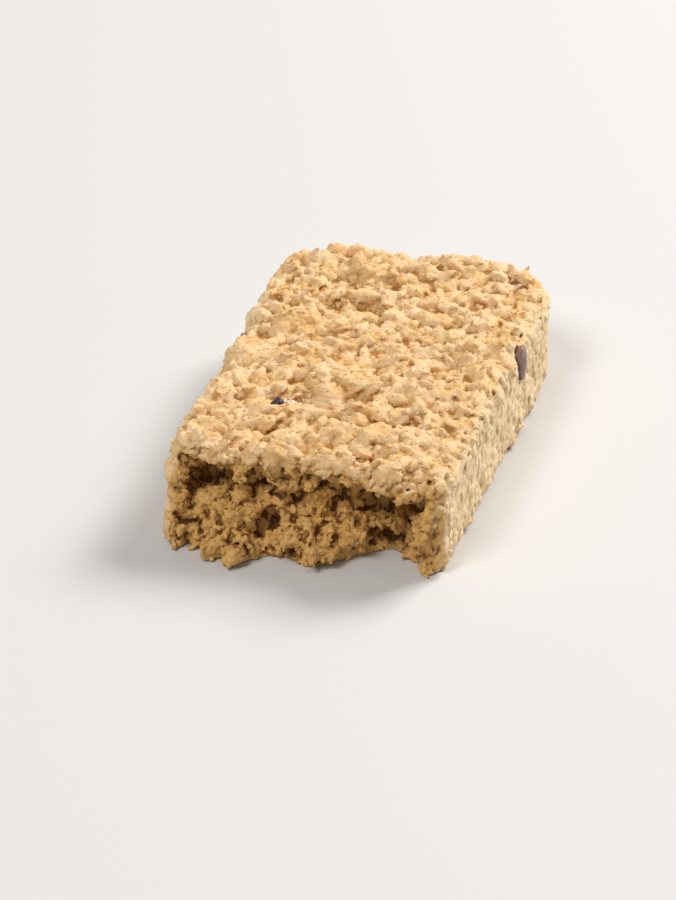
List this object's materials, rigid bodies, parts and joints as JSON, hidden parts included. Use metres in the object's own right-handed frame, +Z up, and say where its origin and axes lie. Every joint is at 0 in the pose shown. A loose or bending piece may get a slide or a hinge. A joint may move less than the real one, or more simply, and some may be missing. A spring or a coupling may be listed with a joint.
{
  "type": "granola bar",
  "caption": "Bitten baked oat granola bar with dried fruit set in its faces, lumpy crust over a hollow at the bitten end, flat base",
  "frame": {"origin": "middle of the bar's outline at the flat base, on the surface that the bar lies on", "axes": "X across the bar, Y along the bar with the bitten end at -Y and the whole end at +Y, Z up out of the lumpy crust"},
  "size_m": [0.0522, 0.0912, 0.0201],
  "materials": {
    "oat_crumb": "baked oat crumb, matt, golden tan on top, paler on the cut sides, browner in the bite",
    "dried_fruit": "wrinkled purple-black dried fruit skin, slightly shiny",
    "red_berry": "dull pink-red dried berry flesh"
  },
  "bodies": {
    "root": {"bar": "oat_crumb", "fruit_top": "dried_fruit", "fruit_corner": "dried_fruit", "fruit_left_edge": "dried_fruit", "fruit_right": "dried_fruit", "fruit_left_near": "dried_fruit", "fruit_left_far": "dried_fruit", "fruit_far_low": "dried_fruit", "fruit_far_high": "dried_fruit", "berry_bit": "red_berry"}
  },
  "joints": []
}
